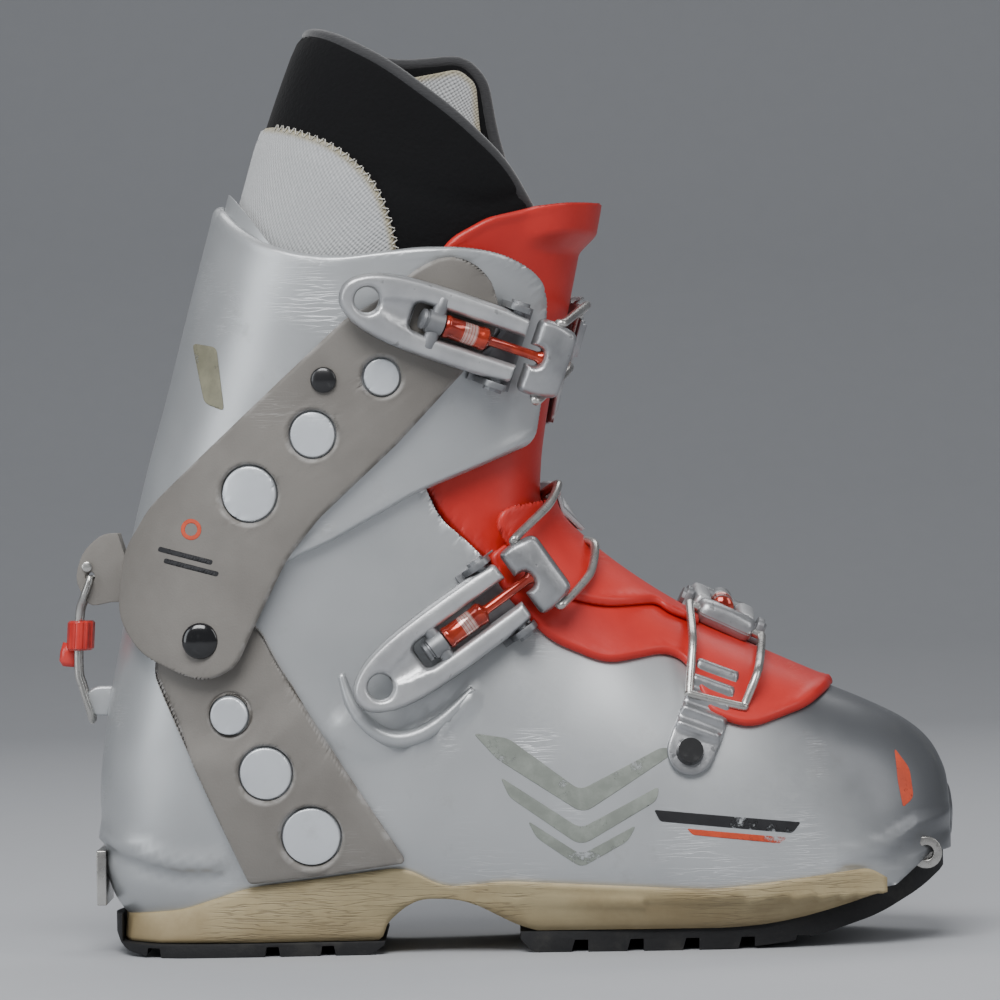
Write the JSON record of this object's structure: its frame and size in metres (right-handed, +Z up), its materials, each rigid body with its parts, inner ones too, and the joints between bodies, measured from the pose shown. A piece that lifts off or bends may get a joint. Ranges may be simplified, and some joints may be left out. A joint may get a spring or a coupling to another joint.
{
  "type": "alpine touring boot",
  "caption": "Ski touring boot for the right foot with a tilting cuff, buckles on wire bails, a walk lock, a padded liner and a lugged rubber sole.",
  "frame": {"origin": "on the ground on the heel tread, under the cuff pivot, on the boot's middle plane", "axes": "+X to the toe, +Y to the inner side of the foot, +Z up"},
  "size_m": [0.3098, 0.1248, 0.3183],
  "materials": {
    "silver_shell": "satin silver paint, lightly scratched",
    "grey_stringer": "warm grey moulded plastic, matte",
    "red_tongue": "satin red moulded plastic",
    "alloy": "forged aluminium, satin",
    "steel": "worn steel",
    "red_alloy": "red anodised aluminium",
    "rubber": "black sole rubber, worn",
    "tan_midsole": "tan midsole, stained",
    "black_trim": "gloss black",
    "liner_cloth": "light grey woven mesh over foam",
    "board": "dark moulded board"
  },
  "bodies": {
    "shell": {"lower_shell": "silver_shell", "midsole": "tan_midsole", "heel_rubber": "rubber", "forefoot_rubber": "rubber", "boot_board": "board", "liner_foot": "liner_cloth", "stringer_lower_lateral": "grey_stringer", "stringer_lower_medial": "grey_stringer", "instep_tongue": "red_tongue", "tongue_flap": "red_tongue", "toe_fitting_lateral": "steel", "toe_fitting_medial": "steel", "heel_fitting": "steel", "heel_fitting_screw": "steel", "lock_hook": "black_trim", "instep_buckle_base": "alloy", "toe_buckle_base": "alloy", "instep_ladder": "alloy", "toe_ladder": "alloy", "ankle_pivot_lateral": "black_trim", "ankle_pivot_medial": "black_trim"},
    "cuff": {"cuff_shell": "silver_shell", "liner_cuff": "liner_cloth", "stringer_upper_lateral": "grey_stringer", "stringer_upper_medial": "grey_stringer", "shin_tongue": "red_tongue", "rear_spoiler": "black_trim", "lock_bracket": "grey_stringer", "upper_buckle_base": "alloy", "upper_ladder": "alloy", "cuff_rivet_lateral": "black_trim", "cuff_rivet_medial": "black_trim"},
    "lock_wire": {"lock_wire": "steel"},
    "lock_grip": {"lock_grip": "red_alloy"},
    "upper_lever": {"upper_lever": "alloy"},
    "upper_trunnion": {"upper_trunnion": "steel"},
    "upper_barrel": {"upper_barrel": "red_alloy"},
    "upper_block": {"upper_block": "alloy"},
    "upper_bail": {"upper_bail": "steel"},
    "instep_lever": {"instep_lever": "alloy"},
    "instep_trunnion": {"instep_trunnion": "steel"},
    "instep_barrel": {"instep_barrel": "red_alloy"},
    "instep_block": {"instep_block": "alloy"},
    "instep_bail": {"instep_bail": "steel"},
    "toe_lever": {"toe_lever": "alloy"},
    "toe_trunnion": {"toe_trunnion": "steel"},
    "toe_barrel": {"toe_barrel": "red_alloy"},
    "toe_block": {"toe_block": "alloy"},
    "toe_bail": {"toe_bail": "steel"}
  },
  "joints": [
    {"name": "cuff_pivot", "type": "hinge", "parent": "shell", "child": "cuff", "pos_m": [0, 0, 0.109], "axis": [0, 1, 0], "range_deg": [-20, 0]},
    {"name": "lock_wire_hinge", "type": "hinge", "parent": "cuff", "child": "lock_wire", "pos_m": [-0.0405, 0, 0.131], "axis": [0, 1, 0], "range_deg": [0, 80]},
    {"name": "lock_grip_slide", "type": "slide", "parent": "lock_wire", "child": "lock_grip", "axis": [0.0587, 0, 0.9983], "range_m": [0, 0.003]},
    {"name": "upper_lever_hinge", "type": "hinge", "parent": "cuff", "child": "upper_lever", "pos_m": [0.106, -0.0502, 0.207], "axis": [0.3384, -0.0469, 0.9398], "range_deg": [0, 100]},
    {"name": "upper_trunnion_hinge", "type": "hinge", "parent": "upper_lever", "child": "upper_trunnion", "pos_m": [0.08224, -0.05874, 0.21513], "axis": [0.3384, -0.0469, 0.9398], "range_deg": [-125, 0]},
    {"name": "upper_barrel_spin", "type": "hinge", "parent": "upper_trunnion", "child": "upper_barrel", "pos_m": [0.08224, -0.05874, 0.21513], "axis": [0.9079, 0.279, -0.313], "range_deg": [0, 720]},
    {"name": "upper_block_slide", "type": "slide", "parent": "upper_trunnion", "child": "upper_block", "axis": [0.9079, 0.279, -0.313], "range_m": [0, 0.002]},
    {"name": "upper_bail_hinge", "type": "hinge", "parent": "upper_block", "child": "upper_bail", "pos_m": [0.11946, -0.04731, 0.2023], "axis": [-0.3384, 0.0469, -0.9398], "range_deg": [0, 60]},
    {"name": "instep_lever_hinge", "type": "hinge", "parent": "shell", "child": "instep_lever", "pos_m": [0.1026, -0.0465, 0.1216], "axis": [-0.5701, -0.0327, 0.8209], "range_deg": [0, 100]},
    {"name": "instep_trunnion_hinge", "type": "hinge", "parent": "instep_lever", "child": "instep_trunnion", "pos_m": [0.08111, -0.05034, 0.10652], "axis": [-0.5701, -0.0327, 0.8209], "range_deg": [-125, 0]},
    {"name": "instep_barrel_spin", "type": "hinge", "parent": "instep_trunnion", "child": "instep_barrel", "pos_m": [0.08111, -0.05034, 0.10652], "axis": [0.8154, 0.1, 0.5702], "range_deg": [0, 720]},
    {"name": "instep_block_slide", "type": "slide", "parent": "instep_trunnion", "child": "instep_block", "axis": [0.8154, 0.1, 0.5702], "range_m": [0, 0.002]},
    {"name": "instep_bail_hinge", "type": "hinge", "parent": "instep_block", "child": "instep_bail", "pos_m": [0.11454, -0.04624, 0.1299], "axis": [0.5701, 0.0327, -0.8209], "range_deg": [0, 60]},
    {"name": "toe_lever_hinge", "type": "hinge", "parent": "shell", "child": "toe_lever", "pos_m": [0.18, 0.008, 0.1135], "axis": [0.8989, 0.0876, -0.4292], "range_deg": [0, 100]},
    {"name": "toe_trunnion_hinge", "type": "hinge", "parent": "toe_lever", "child": "toe_trunnion", "pos_m": [0.18053, 0.02444, 0.11796], "axis": [0.8989, 0.0876, -0.4292], "range_deg": [-125, 0]},
    {"name": "toe_barrel_spin", "type": "hinge", "parent": "toe_trunnion", "child": "toe_barrel", "pos_m": [0.18053, 0.02444, 0.11796], "axis": [0, -0.9798, -0.2], "range_deg": [0, 720]},
    {"name": "toe_block_slide", "type": "slide", "parent": "toe_trunnion", "child": "toe_block", "axis": [0, -0.9798, -0.2], "range_m": [0, 0.002]},
    {"name": "toe_bail_hinge", "type": "hinge", "parent": "toe_block", "child": "toe_bail", "pos_m": [0.18053, -0.00642, 0.11166], "axis": [-0.8989, -0.0876, 0.4292], "range_deg": [0, 60]}
  ],
  "couplings": [
    {"joint": "lock_wire_hinge", "follows": "cuff_pivot", "ratio": -4},
    {"joint": "upper_trunnion_hinge", "follows": "upper_lever_hinge", "ratio": -1.25},
    {"joint": "upper_barrel_spin", "follows": "upper_block_slide", "rad_per_m": 6283.2},
    {"joint": "instep_trunnion_hinge", "follows": "instep_lever_hinge", "ratio": -1.25},
    {"joint": "instep_barrel_spin", "follows": "instep_block_slide", "rad_per_m": 6283.2},
    {"joint": "toe_trunnion_hinge", "follows": "toe_lever_hinge", "ratio": -1.25},
    {"joint": "toe_barrel_spin", "follows": "toe_block_slide", "rad_per_m": 6283.2}
  ]
}
